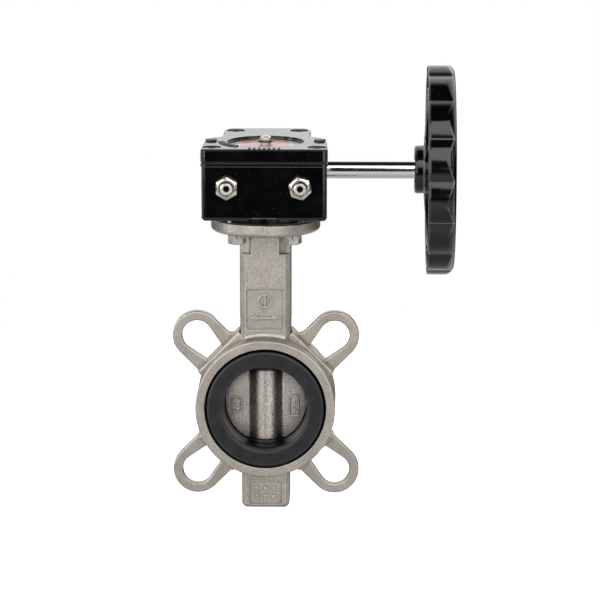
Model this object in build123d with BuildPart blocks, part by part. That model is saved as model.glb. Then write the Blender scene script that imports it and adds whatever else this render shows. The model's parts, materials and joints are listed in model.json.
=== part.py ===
from build123d import *
import os
from math import acos, cos, hypot, pi, radians, sin, tan

# Wafer butterfly valve for a 50 mm pipe, with a worm gearbox and a handwheel, shut.
# Origin at the centre of the flow bore. Y runs along the pipe and Z up the stem. Millimetres.

FIT = 0.05  # radial gap of a located or running fit
BORE_AXIS = Axis.Y

# Valve body
RING_R = 44.8
FACE_HALF = 21.5  # half of the length between the pipe flanges
FACE_RECESS_R = 39.1
FACE_RECESS_DEPTH = 4.6
BODY_BORE_R = 33.1
BOLT_CIRCLE_R = 62.5
EAR_END_R = 15.8
EAR_HALF = 3.25
EAR_HOLE_R = 9.6
EAR_ROOT_R = 46.3  # distance of the flat pad under each ear from the bore's centre
EAR_ROOT_HALF = 6.6
PAD_HALF = 10.0
GUSSET_SIDE = 22.0  # how far the upper pads run towards the neck
NECK_FRONT = 13.0
NECK_FLAT = 12.9
NECK_SIDE = 15.8
NECK_SHOULDER = 9.8
PARTING_RIB = 16.6
FLANGE_R = 34.9
FLANGE_LOW = 113.3
FLANGE_TOP = 121.2
TOP_BOLT = 17.68  # offset of each gearbox bolt in X and in Y
POCKET_R = 10.0
POCKET_LOW = 99.0
BOSS_SIDE = 15.5
NECK_COVE = 3.0
BOSS_LOW = -67.5
PANEL_DEPTH = 1.0
MARK_SUNK = 0.1  # how far the raised marks stay below the face round the panel

# Seat liner
SEAT_FACE = 22.3
SEAT_R = 37.4
SEAT_EDGE_R = 38.6
SEAT_BORE_R = 27.2
SEAT_LINE_R = 26.25
SEAT_HUB_Z = 23.0
SEAT_HUB_R = 12.0
SEAT_RIB_HALF = 17.0  # half the width of the liner's back, between its two flanges
LIP_WIDTH = 2.4  # the soft lip at each end of the liner's bore, with a groove behind it
LIP_GROOVE = 1.4
LIP_GROOVE_DEPTH = 0.6

# Disc and stems
DISC_R = 26.0
DISC_HALF = 3.0
DISC_HUB_R = 10.2
DISC_HUB_Z = 22.7
DISC_MARK_HEIGHT = 0.7
SQUARE_SOCKET = (4.0, 13.0)  # heights of the disc's square socket
LOWER_STEM = (-59.5, -5.5)
STEM_R = 6.3
STEM_SQUARE = 9.0
STEM_BORE_R = 8.0
STEM_TOP = 139.0
STEM_SHOULDER = 123.0
CLIP_Z = 118.9
CLIP_HALF = 0.55
CLIP_GROOVE_R = 5.5
COUNTERBORE_R = 11.0
COUNTERBORE_Z = 116.5
PLUG_R = 10.0
PLUG_BORE_TOP = -61.0
PLUG_LOW = BOSS_LOW + 0.3
PLUG_TOP = PLUG_BORE_TOP - 1.2

# Bolts that hold the gearbox on the top flange
BOLT_HEAD_LOW = 106.9
BOLT_HEAD_TOP = 110.9
BOLT_END = 129.5
BOLT_R = 3.0

# Gearbox
BOX_LOW = 124.0
PAD_LOW = 121.7
PAD_R = 35.0
BOX_RIM_LOW = 158.7
BOX_TOP = 160.8
COVER_LOW = 161.2
COVER_TOP = 169.8
FRONT_Y = -34.5
REAR_Y = 58.0
CAVITY_R = 31.0
CAVITY_LOW = 132.0
WORM_BAY = (16.0, 49.5)  # half width and rear end of the bay that holds the worm
RIM_INSET = 0.5
BOX_ROUNDING = 2.4
SCREW_SINK = 5.6  # depth of the counterbores in the cover
SCREW_END = 147.5
COVER_PLUG_HEIGHT = 1.2
COVER_PLUG_END = 154.4
SPIGOT_LOW = 154.5  # lower end of the cover's spigot round the quadrant's upper journal
COVER_SCREWS = ((-33.0, -24.5), (33.0, -24.5), (-20.5, 47.0), (20.5, 47.0))
PLUG_SCREWS = ((-34.6, 1.5), (34.6, 1.5))
STOP_X = (-23.5, 22.6)
STOP_Z = 145.5
STOP_TIP_Y = -7.5
STOP_END_Y = -40.4
STOP_R = 3.95
NUT_FLATS = 13.0
NUT_THICK = 4.7
NUT_CHAMFER = (1.1, 1.9)  # along the axis and across it
NUT_TURNS = (30, 44.5)  # direction of one corner of each lock nut, from +X towards +Z

# Worm and quadrant
GEAR_TEETH = 24  # teeth of the full circle that the quadrant is cut from
MODULE = 2.25
PRESSURE = radians(20)
WORM_Y = 36.0
WORM_Z = 146.2
WHEEL_R = GEAR_TEETH * MODULE / 2
WORM_R = WORM_Y - WHEEL_R
LEAD = pi * MODULE
TOOTH_TILT = LEAD / (2 * pi * WORM_R)
WHEEL_THINNING = 0.15
WORM_THINNING = 0.25
WHEEL_HALF_WIDTH = 6.0
QUADRANT_TEETH = 8
QUADRANT_LOW = 122.2
QUADRANT_AT = 45.0  # direction of the quadrant's middle while the valve is shut
QUADRANT_HALF_ANGLE = 60.0
LOWER_JOURNAL_R = 15.0
UPPER_JOURNAL_R = 12.0
HUB_R = 18.0
BUSH_SQUARE = 14.0
WORM_HALF = 14.8
THREAD_TURNS = 2.5
PIN_X = 1.6 - WORM_HALF
SHAFT_R = 6.0
SHAFT_NECK_R = 4.5
SHAFT_LEFT = -24.0
SHAFT_STEP = 17.0
SHAFT_RIGHT = 112.5

# Indicator
DIAL_R = 24.4
DIAL_FLOOR = 166.4
DIAL_PLATE = (166.7, 167.5)
DIAL_PLATE_R = 23.4
RED_BAND_HALF = 14.7
SCALE_R = 28.2
POINTER_SCREW = (154.0, 170.5, 173.3)  # lower end, seat of the head and top of the indicator's screw

# Handwheel
WHEEL_OUTER_R = 68.0
WHEEL_RIM = (103.4, 120.9)
RIM_INNER_R = 50.0
RIM_WALL = 4.0
RIM_BACK = 3.0  # thickness of the rim's inner and outboard walls
RIM_ROUNDING = 6.4
LOBE_EDGE = 1.1
HUB_X = (95.4, 112.0)
WHEEL_HUB_R = 15.5
LOBES = 15
LOBE_DEPTH = 2.4
VALLEY_AT = 178.0  # direction of one valley between lobes, from +Y towards +Z about the shaft
SPOKES = 3
SPOKE_AT = 176.0  # direction of the first spoke
WINDOW_R = (19.5, 47.5)
WINDOW_HALF = 34.0  # half of the angle that each window between the spokes takes

TOP_BOLTS = [(x, y) for x in (-TOP_BOLT, TOP_BOLT) for y in (-TOP_BOLT, TOP_BOLT)]
SHAFT_PLANE = Plane(origin=(0, WORM_Y, WORM_Z), x_dir=(0, 1, 0), z_dir=(1, 0, 0))
SHAFT_SECTION = Plane(origin=(0, WORM_Y, WORM_Z), x_dir=(1, 0, 0), z_dir=(0, -1, 0))
SHAFT_AXIS = Axis(origin=(0, WORM_Y, WORM_Z), direction=(1, 0, 0))

os.makedirs("parts", exist_ok=True)


def ear_point(angle, out, side):
    """A point in the plane of the ears, from its distances along and across an ear."""
    a = radians(angle)
    return (out * cos(a) - side * sin(a), out * sin(a) + side * cos(a))


def meets_ring(edge):
    """Whether an edge is where the neck or the boss grows out of the ring."""
    centre = edge.center()
    on_ring = abs(hypot(centre.X, centre.Z) - RING_R) < 1.5
    return edge.geom_type != GeomType.LINE and on_ring and abs(centre.Y) < NECK_FRONT + 0.5


# ---------------------------------------------------------------- valve body
# Ears: one plate with rounded rims, and coves where the ears meet the neck and the ring
with BuildPart() as ear_plate:
    with BuildSketch(Plane.XZ) as ears:
        Circle(RING_R - 1)
        with PolarLocations(BOLT_CIRCLE_R - 20, 4, start_angle=45):
            SlotCenterToCenter(40, 2 * EAR_END_R)
        with BuildLine():
            Polyline(
                ear_point(45, 25, 0), ear_point(45, EAR_ROOT_R, 0),
                ear_point(45, EAR_ROOT_R, GUSSET_SIDE), ear_point(135, EAR_ROOT_R, -GUSSET_SIDE),
                ear_point(135, EAR_ROOT_R, 0), ear_point(135, 25, 0), close=True,
            )
        make_face()
        valleys = [ear_point(45, EAR_ROOT_R, EAR_END_R), ear_point(135, EAR_ROOT_R, -EAR_END_R)]
        fillet([ears.vertices().sort_by_distance((x, z, 0))[0] for x, z in valleys], 5)
        root_out = ((RING_R - 1) ** 2 - EAR_END_R ** 2) ** 0.5
        roots = [ear_point(a, root_out, s * EAR_END_R)
                 for a, s in ((45, -1), (135, 1), (225, 1), (225, -1), (315, 1), (315, -1))]
        fillet([ears.vertices().sort_by_distance((x, z, 0))[0] for x, z in roots], 3.0)
    extrude(amount=EAR_HALF, both=True)
    # Bolt loops: round at the outer end, narrowing to a flat root
    for angle in (45, 135, 225, 315):
        spread = hypot(BOLT_CIRCLE_R - EAR_ROOT_R, EAR_ROOT_HALF)
        lean = acos(EAR_HOLE_R / spread) + acos((BOLT_CIRCLE_R - EAR_ROOT_R) / spread)
        touch_out = BOLT_CIRCLE_R - EAR_HOLE_R * cos(lean)
        touch_side = EAR_HOLE_R * sin(lean)
        with BuildSketch(Plane.XZ) as loop:
            with BuildLine():
                Polyline(
                    ear_point(angle, touch_out, touch_side),
                    ear_point(angle, EAR_ROOT_R, EAR_ROOT_HALF),
                    ear_point(angle, EAR_ROOT_R, -EAR_ROOT_HALF),
                    ear_point(angle, touch_out, -touch_side),
                )
                ThreePointArc(
                    ear_point(angle, touch_out, -touch_side),
                    ear_point(angle, BOLT_CIRCLE_R + EAR_HOLE_R, 0),
                    ear_point(angle, touch_out, touch_side),
                )
            make_face()
            root_corners = [ear_point(angle, EAR_ROOT_R, s * EAR_ROOT_HALF) for s in (-1, 1)]
            fillet([loop.vertices().sort_by_distance((x, z, 0))[0] for x, z in root_corners], 1.5)
        extrude(amount=EAR_HALF + 1, both=True, mode=Mode.SUBTRACT)
    fillet(ear_plate.faces().filter_by(Axis.Y).edges(), 1.1)

# Pads under the ears' roots; the upper two run on to the neck
with BuildPart() as ear_pads:
    for angle, low, high in ((45, -EAR_END_R, GUSSET_SIDE), (135, -GUSSET_SIDE, EAR_END_R),
                             (225, -EAR_END_R, EAR_END_R), (315, -EAR_END_R, EAR_END_R)):
        with BuildSketch(Plane.XZ):
            with BuildLine():
                Polyline(
                    ear_point(angle, 25, low), ear_point(angle, EAR_ROOT_R, low),
                    ear_point(angle, EAR_ROOT_R, high), ear_point(angle, 25, high), close=True,
                )
            make_face()
        extrude(amount=PAD_HALF, both=True)
    fillet(ear_pads.faces().filter_by(Axis.Y).edges(), 1.4)

with BuildPart() as valve_body:
    with BuildSketch(Plane.XZ):
        Circle(RING_R)
    extrude(amount=FACE_HALF, both=True)

    # Neck with chamfered corners
    with BuildSketch(Plane.XY.offset(30)) as neck:
        with BuildLine():
            Polyline(
                (-NECK_FLAT, -NECK_FRONT), (NECK_FLAT, -NECK_FRONT), (NECK_SIDE, -NECK_SHOULDER),
                (NECK_SIDE, NECK_SHOULDER), (NECK_FLAT, NECK_FRONT), (-NECK_FLAT, NECK_FRONT),
                (-NECK_SIDE, NECK_SHOULDER), (-NECK_SIDE, -NECK_SHOULDER), close=True,
            )
        make_face()
        fillet(neck.vertices(), 0.8)
    extrude(amount=FLANGE_LOW + 1 - 30)

    # Bottom boss round the lower stem
    with BuildSketch(Plane.XZ) as boss:
        with Locations((0, BOSS_LOW + 20)):
            Rectangle(2 * BOSS_SIDE, 40)
        fillet(boss.vertices().group_by(Axis.Y)[0], 4)
    extrude(amount=NECK_FRONT, both=True)
    corners = valve_body.edges().filter_by(Axis.Z).filter_by(lambda e: e.center().Z < -45)
    chamfer(corners, 2.4)

    # Coves where the neck and the boss grow out of the ring
    fillet(valve_body.edges().filter_by(meets_ring), NECK_COVE)
    ring_rims = valve_body.edges().filter_by(GeomType.CIRCLE).filter_by(
        lambda e: abs(abs(e.center().Y) - FACE_HALF) < 0.01)
    fillet(ring_rims, 1.0)

    # The thin rib left by the mould's parting line
    with BuildSketch(Plane.XY.offset(44)):
        Rectangle(2 * PARTING_RIB, 1.6)
    extrude(amount=FLANGE_LOW - 44)
    add(ear_plate.part)
    add(ear_pads.part)

    # Room for the bolt heads under the top flange
    with BuildSketch(Plane.XY.offset(POCKET_LOW)):
        with Locations(TOP_BOLTS):
            Circle(POCKET_R)
    extrude(amount=FLANGE_LOW - POCKET_LOW, mode=Mode.SUBTRACT)

    # Top flange
    with BuildSketch(Plane.XY.offset(FLANGE_LOW)):
        Circle(FLANGE_R)
    extrude(amount=FLANGE_TOP - FLANGE_LOW)
    flange_rims = valve_body.edges().filter_by(GeomType.CIRCLE).filter_by(
        lambda e: abs(e.radius - FLANGE_R) < 0.01).sort_by(Axis.Z)
    fillet(flange_rims[0], 2.6)
    fillet(flange_rims[-1], 0.6)

    # Flow bore, face recesses and stem bores
    with BuildSketch(Plane.XZ):
        Circle(BODY_BORE_R)
    extrude(amount=FACE_HALF + 1, both=True, mode=Mode.SUBTRACT)
    for side in (-1, 1):
        with BuildSketch(Plane.XZ.offset(side * FACE_HALF)):
            Circle(FACE_RECESS_R)
        extrude(amount=-side * FACE_RECESS_DEPTH, mode=Mode.SUBTRACT)
    with BuildSketch(Plane.XY.offset(PLUG_BORE_TOP)):
        Circle(STEM_BORE_R)
    extrude(amount=FLANGE_TOP - PLUG_BORE_TOP, mode=Mode.SUBTRACT)
    with BuildSketch(Plane.XY.offset(COUNTERBORE_Z)):
        Circle(COUNTERBORE_R)
    extrude(amount=FLANGE_TOP - COUNTERBORE_Z, mode=Mode.SUBTRACT)
    with BuildSketch(Plane.XY.offset(BOSS_LOW)):
        Circle(PLUG_R)
    extrude(amount=PLUG_BORE_TOP - BOSS_LOW, mode=Mode.SUBTRACT)
    with BuildSketch(Plane.XY.offset(FLANGE_LOW - 1)):
        with Locations(TOP_BOLTS):
            Circle(3.3)
    extrude(amount=FLANGE_TOP - FLANGE_LOW + 2, mode=Mode.SUBTRACT)

    # Sunk panels on the neck and the boss, each with plain raised marks
    with BuildSketch(Plane.XZ.offset(NECK_FRONT)):
        with Locations((-0.4, 63.2)):
            RectangleRounded(23.5, 26.5, 2)
        with Locations((0, -57.5)):
            RectangleRounded(21.0, 15.5, 1.6)
    extrude(amount=-PANEL_DEPTH, mode=Mode.SUBTRACT)
    with BuildSketch(Plane.XZ.offset(NECK_FRONT - PANEL_DEPTH)):
        with Locations((-0.4, 68.5)):
            Circle(4.6)
            Circle(3.6, mode=Mode.SUBTRACT)
            Rectangle(1.2, 7.4)
        with Locations((-0.4, 57.5)):
            Rectangle(11, 1.3)
        with BuildLine():
            Polyline((-9.4, 57.5), (-5.4, 60.0), (-5.4, 55.0), close=True)
        make_face()
        with BuildLine():
            Polyline((8.6, 57.5), (4.6, 60.0), (4.6, 55.0), close=True)
        make_face()
        with Locations((0, -57.5)):
            with GridLocations(5.4, 5.6, 3, 2):
                Circle(1.3)
    extrude(amount=PANEL_DEPTH - MARK_SUNK)

valve_body.part.label = "valve_body"
export_step(valve_body.part, "parts/valve_body.step")


# ---------------------------------------------------------------- seat liner
half_profile = [
    (SEAT_BORE_R, 8),
    (SEAT_BORE_R, SEAT_FACE - LIP_WIDTH - LIP_GROOVE),
    (SEAT_BORE_R + LIP_GROOVE_DEPTH, SEAT_FACE - LIP_WIDTH - LIP_GROOVE / 2),
    (SEAT_BORE_R + LIP_GROOVE_DEPTH, SEAT_FACE - LIP_WIDTH - 0.1),
    (SEAT_BORE_R, SEAT_FACE - LIP_WIDTH + 0.3),
    (SEAT_BORE_R + 0.1, SEAT_FACE - 1.1),
    (SEAT_BORE_R + 0.5, SEAT_FACE - 0.4),
    (SEAT_BORE_R + 1.3, SEAT_FACE),
    (SEAT_R - 0.6, SEAT_FACE),
    (SEAT_R, SEAT_FACE - 0.6),
    (SEAT_EDGE_R, SEAT_RIB_HALF + 1),
    (SEAT_EDGE_R, SEAT_RIB_HALF),
    (BODY_BORE_R - FIT, SEAT_RIB_HALF),
]
with BuildPart() as seat_liner:
    with BuildSketch(Plane.XY):
        with BuildLine():
            Polyline(*half_profile, *[(x, -y) for x, y in reversed(half_profile)])
            ThreePointArc((SEAT_BORE_R, -8), (SEAT_LINE_R, 0), (SEAT_BORE_R, 8))
        make_face()
    revolve(axis=BORE_AXIS)
    for side in (-1, 1):
        with BuildSketch(Plane.XY.offset(side * SEAT_HUB_Z)):
            Circle(SEAT_HUB_R)
        extrude(amount=side * (BODY_BORE_R - SEAT_HUB_Z - 3.2))
    with BuildSketch(Plane.XY):
        Circle(STEM_R + FIT)
    extrude(amount=BODY_BORE_R + 1, both=True, mode=Mode.SUBTRACT)
seat_liner.part.label = "seat_liner"
export_step(seat_liner.part, "parts/seat_liner.step")


# ---------------------------------------------------------------- disc
with BuildPart() as disc:
    with BuildSketch(Plane.XZ):
        Circle(DISC_R)
    extrude(amount=DISC_HALF, both=True)
    with BuildSketch(Plane.XY):
        Circle(DISC_HUB_R)
    extrude(amount=DISC_HUB_Z, both=True)
    hub_feet = disc.edges().filter_by(Axis.Z).filter_by(
        lambda e: abs(abs(e.center().Y) - DISC_HALF) < 0.01)
    fillet(hub_feet, 3.5)
    # The rim is part of a sphere, so that it stays clear of the seat as it turns
    Sphere(DISC_R, mode=Mode.INTERSECT)
    Box(2 * DISC_R, 2 * DISC_R, 2 * DISC_HUB_Z, mode=Mode.INTERSECT)
    # Cast frames with plain raised pips on the wings, front and back
    for face, facing in ((-DISC_HALF, -1), (DISC_HALF, 1)):
        with BuildSketch(Plane.XZ.offset(-face)):
            for centre_x, centre_z, height in ((-18.6, -1.2, 10.5), (18.2, -1.8, 14.5)):
                with Locations((centre_x, centre_z)):
                    RectangleRounded(6.2, height, 1.2)
                    RectangleRounded(5.0, height - 1.2, 0.8, mode=Mode.SUBTRACT)
                    with GridLocations(0, 3.4, 1, 3):
                        Circle(0.9)
        extrude(amount=-facing * DISC_MARK_HEIGHT)
    # Square socket for the upper stem, round bore for the lower one
    with BuildSketch(Plane.XY.offset(SQUARE_SOCKET[1])):
        Circle(STEM_R + FIT)
    extrude(amount=DISC_HUB_Z - SQUARE_SOCKET[1], mode=Mode.SUBTRACT)
    with BuildSketch(Plane.XY.offset(SQUARE_SOCKET[0])):
        Rectangle(STEM_SQUARE + 2 * FIT, STEM_SQUARE + 2 * FIT)
    extrude(amount=SQUARE_SOCKET[1] - SQUARE_SOCKET[0], mode=Mode.SUBTRACT)
    with BuildSketch(Plane.XY.offset(-DISC_HUB_Z)):
        Circle(STEM_R + FIT)
    extrude(amount=LOWER_STEM[1] + 0.5 + DISC_HUB_Z, mode=Mode.SUBTRACT)
disc.part.label = "disc"
export_step(disc.part, "parts/disc.step")


# ---------------------------------------------------------------- stems
stem_steps = (
    (SQUARE_SOCKET[0] + 0.4, SQUARE_SOCKET[1], True),
    (SQUARE_SOCKET[1], STEM_SHOULDER, False),
    (STEM_SHOULDER, STEM_TOP, True),
)
with BuildPart() as upper_stem:
    for low, high, square in stem_steps:
        with BuildSketch(Plane.XY.offset(low)):
            Circle(STEM_R)
            if square:
                Rectangle(STEM_SQUARE, STEM_SQUARE, mode=Mode.INTERSECT)
        extrude(amount=high - low)
    with BuildSketch(Plane.XY.offset(CLIP_Z - CLIP_HALF - FIT)):
        Circle(STEM_R + 1)
        Circle(CLIP_GROOVE_R, mode=Mode.SUBTRACT)
    extrude(amount=2 * (CLIP_HALF + FIT), mode=Mode.SUBTRACT)
upper_stem.part.label = "upper_stem"
export_step(upper_stem.part, "parts/upper_stem.step")

with BuildPart() as lower_stem:
    with BuildSketch(Plane.XY.offset(LOWER_STEM[0])):
        Circle(STEM_R)
    extrude(amount=LOWER_STEM[1] - LOWER_STEM[0])
    chamfer(lower_stem.edges().filter_by(GeomType.CIRCLE), 0.6)
lower_stem.part.label = "lower_stem"
export_step(lower_stem.part, "parts/lower_stem.step")

with BuildPart() as stem_clip:
    with BuildSketch(Plane.XY.offset(CLIP_Z - CLIP_HALF)):
        Circle(9)
        Circle(CLIP_GROOVE_R + FIT, mode=Mode.SUBTRACT)
        with Locations((8, 0)):
            Rectangle(12, 4, mode=Mode.SUBTRACT)
    extrude(amount=2 * CLIP_HALF)
stem_clip.part.label = "stem_clip"
export_step(stem_clip.part, "parts/stem_clip.step")


# ---------------------------------------------------------------- plain rings round the stem and dial
RINGS = {
    # name: (inner radius, outer radius, low, high)
    "neck_bushing_upper": (STEM_R + FIT, STEM_BORE_R - FIT, 84.0, 108.0),
    "neck_bushing_lower": (STEM_R + FIT, STEM_BORE_R - FIT, 34.0, 58.0),
    "boss_bushing": (STEM_R + FIT, STEM_BORE_R - FIT, -58.0, -34.0),
    "stem_thrust_washer": (STEM_R + FIT, COUNTERBORE_R - 0.3, COUNTERBORE_Z, 117.9),
    "plug_washer": (8.4, PLUG_R - FIT, PLUG_TOP, PLUG_BORE_TOP),
    "base_gasket": (18.0, 34.0, FLANGE_TOP, PAD_LOW),
    "indicator_spacer": (2.7, 3.3, 167.75, 169.6),
    "indicator_washer": (2.7, 5.0, 169.6, POINTER_SCREW[1]),
}
for name, (inner, outer, low, high) in RINGS.items():
    with BuildPart() as ring:
        with BuildSketch(Plane.XY.offset(low)):
            Circle(outer)
            Circle(inner, mode=Mode.SUBTRACT)
            if name == "base_gasket":
                with Locations(TOP_BOLTS):
                    Circle(3.4, mode=Mode.SUBTRACT)
        extrude(amount=high - low)
    ring.part.label = name
    export_step(ring.part, f"parts/{name}.step")

SEALS = {
    # name: (middle radius, section radius, heights)
    "stem_seals": (7.15, 0.78, (76.0, 112.0)),
    "quadrant_seal": (16.3, 1.18, (125.2,)),
    "indicator_seal": (13.3, 1.18, (163.2,)),
}
for name, (middle, section, heights) in SEALS.items():
    with BuildPart() as seal:
        for height in heights:
            with BuildSketch(Plane.XZ):
                with Locations((middle, height)):
                    Circle(section)
            revolve(axis=Axis.Z)
    seal.part.label = name
    export_step(seal.part, f"parts/{name}.step")


# ---------------------------------------------------------------- bottom plug
with BuildPart() as bottom_plug:
    with BuildSketch(Plane.XY.offset(PLUG_LOW)):
        Circle(PLUG_R - FIT)
    extrude(amount=PLUG_TOP - PLUG_LOW)
    chamfer(bottom_plug.edges().filter_by(GeomType.CIRCLE).sort_by(Axis.Z)[0], 0.7)
    with BuildSketch(Plane.XY.offset(PLUG_LOW)):
        RegularPolygon(radius=4.0, side_count=6, major_radius=False)
    extrude(amount=3.2, mode=Mode.SUBTRACT)
bottom_plug.part.label = "bottom_plug"
export_step(bottom_plug.part, "parts/bottom_plug.step")


# ---------------------------------------------------------------- gearbox to valve fasteners
with BuildPart() as mounting_bolts:
    with BuildSketch(Plane.XY.offset(BOLT_HEAD_LOW)):
        with Locations(TOP_BOLTS):
            RegularPolygon(radius=5.0, side_count=6, major_radius=False, rotation=8)
    extrude(amount=BOLT_HEAD_TOP - BOLT_HEAD_LOW)
    chamfer(mounting_bolts.faces().group_by(Axis.Z)[0].edges(), 0.5)
    with BuildSketch(Plane.XY.offset(BOLT_HEAD_TOP)):
        with Locations(TOP_BOLTS):
            Circle(BOLT_R - FIT)
    extrude(amount=BOLT_END - BOLT_HEAD_TOP)
mounting_bolts.part.label = "mounting_bolts"
export_step(mounting_bolts.part, "parts/mounting_bolts.step")

with BuildPart() as spring_washers:
    with BuildSketch(Plane.XY.offset(BOLT_HEAD_TOP + 0.02)):
        with Locations(TOP_BOLTS):
            Circle(5.6)
            Circle(3.15, mode=Mode.SUBTRACT)
        with Locations([(x, y - 4.4) for x, y in TOP_BOLTS]):
            Rectangle(0.8, 3.2, mode=Mode.SUBTRACT)
    extrude(amount=FLANGE_LOW - BOLT_HEAD_TOP - 0.04)
spring_washers.part.label = "spring_washers"
export_step(spring_washers.part, "parts/spring_washers.step")


# ---------------------------------------------------------------- gearbox housing, gasket and cover
def draw_gearbox_plan(inset):
    """Plan of the gearbox, a wide block round the quadrant and a narrower one round the worm."""
    half = [
        (40.0, FRONT_Y), (38.8, 0.0), (36.6, 13.7), (32.6, 18.6), (28.4, 21.0), (27.9, 50.0), (25.5, REAR_Y),
    ]
    mirrored = [(-x, y) for x, y in reversed(half)]
    with BuildSketch(mode=Mode.PRIVATE) as plan:
        with BuildLine():
            Polyline(*half, *mirrored, close=True)
        make_face()
        fillet(plan.vertices().group_by(Axis.Y)[0], 3.0)
        fillet(plan.vertices().group_by(Axis.Y)[-1], 3.0)
        shoulders = [(s * x, y) for x, y in half[2:5] for s in (-1, 1)]
        fillet([plan.vertices().sort_by_distance((x, y, 0))[0] for x, y in shoulders], 2.2)
        if inset:
            offset(amount=-inset, mode=Mode.REPLACE)
    add(plan.sketch)


with BuildPart() as gearbox_housing:
    with BuildSketch(Plane.XY.offset(BOX_LOW)):
        draw_gearbox_plan(RIM_INSET)
    extrude(amount=BOX_RIM_LOW - BOX_LOW)
    fillet(gearbox_housing.faces().sort_by(Axis.Z)[0].edges(), BOX_ROUNDING)
    with BuildSketch(Plane.XY.offset(BOX_RIM_LOW)):
        draw_gearbox_plan(0)
    extrude(amount=BOX_TOP - BOX_RIM_LOW)
    rim_faces = gearbox_housing.faces().filter_by(Axis.Z).sort_by(Axis.Z)
    fillet(rim_faces[-1].edges(), 0.7)
    with BuildSketch(Plane.XY.offset(PAD_LOW)):
        Circle(PAD_R)
    extrude(amount=BOX_LOW + 2 - PAD_LOW)
    # Boss where the shaft comes out
    with BuildSketch(SHAFT_PLANE.offset(24)):
        Circle(11)
    extrude(amount=7.5)
    # Cavity: round for the quadrant, with a bay for the worm
    with BuildSketch(Plane.XY.offset(CAVITY_LOW)):
        Circle(CAVITY_R)
        with Locations((0, WORM_BAY[1] / 2)):
            Rectangle(2 * WORM_BAY[0], WORM_BAY[1])
    extrude(amount=BOX_TOP - CAVITY_LOW, mode=Mode.SUBTRACT)
    with BuildSketch(Plane.XY.offset(PAD_LOW)):
        Circle(LOWER_JOURNAL_R + FIT)
    extrude(amount=CAVITY_LOW - PAD_LOW, mode=Mode.SUBTRACT)
    with BuildSketch(Plane.XY.offset(123.9)):
        Circle(17.5)
    extrude(amount=2.6, mode=Mode.SUBTRACT)
    # Shaft bores: bushing and seal on the right, bushing and cap on the left
    for x, length, radius in ((15, 14, 8), (28, 4, 9.05), (-26, 12, 7), (-30, 5.6, 9)):
        with BuildSketch(SHAFT_PLANE.offset(x)):
            Circle(radius)
        extrude(amount=length, mode=Mode.SUBTRACT)
    # Threaded holes, drawn at the bolts' own size
    with BuildSketch(Plane.XY.offset(PAD_LOW)):
        with Locations(TOP_BOLTS):
            Circle(BOLT_R)
    extrude(amount=BOLT_END + 0.8 - PAD_LOW, mode=Mode.SUBTRACT)
    with BuildSketch(Plane.XY.offset(SCREW_END - 0.5)):
        with Locations(COVER_SCREWS):
            Circle(3)
    extrude(amount=BOX_TOP - SCREW_END + 0.5, mode=Mode.SUBTRACT)
    with BuildSketch(Plane.XY.offset(COVER_PLUG_END - 0.4)):
        with Locations(PLUG_SCREWS):
            Circle(2.5)
    extrude(amount=BOX_TOP - COVER_PLUG_END + 0.4, mode=Mode.SUBTRACT)
    with BuildSketch(Plane.XZ.offset(-FRONT_Y)):
        with Locations([(x, STOP_Z) for x in STOP_X]):
            Circle(STOP_R + FIT)
    extrude(amount=-20, mode=Mode.SUBTRACT)
gearbox_housing.part.label = "gearbox_housing"
export_step(gearbox_housing.part, "parts/gearbox_housing.step")

with BuildPart() as cover_gasket:
    with BuildSketch(Plane.XY.offset(BOX_TOP)):
        draw_gearbox_plan(0.9)
        Circle(CAVITY_R, mode=Mode.SUBTRACT)
        with Locations((0, WORM_BAY[1] / 2)):
            Rectangle(2 * WORM_BAY[0], WORM_BAY[1], mode=Mode.SUBTRACT)
        with Locations(COVER_SCREWS):
            Circle(3.2, mode=Mode.SUBTRACT)
        with Locations(PLUG_SCREWS):
            Circle(2.6, mode=Mode.SUBTRACT)
    extrude(amount=COVER_LOW - BOX_TOP)
cover_gasket.part.label = "cover_gasket"
export_step(cover_gasket.part, "parts/cover_gasket.step")

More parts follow.
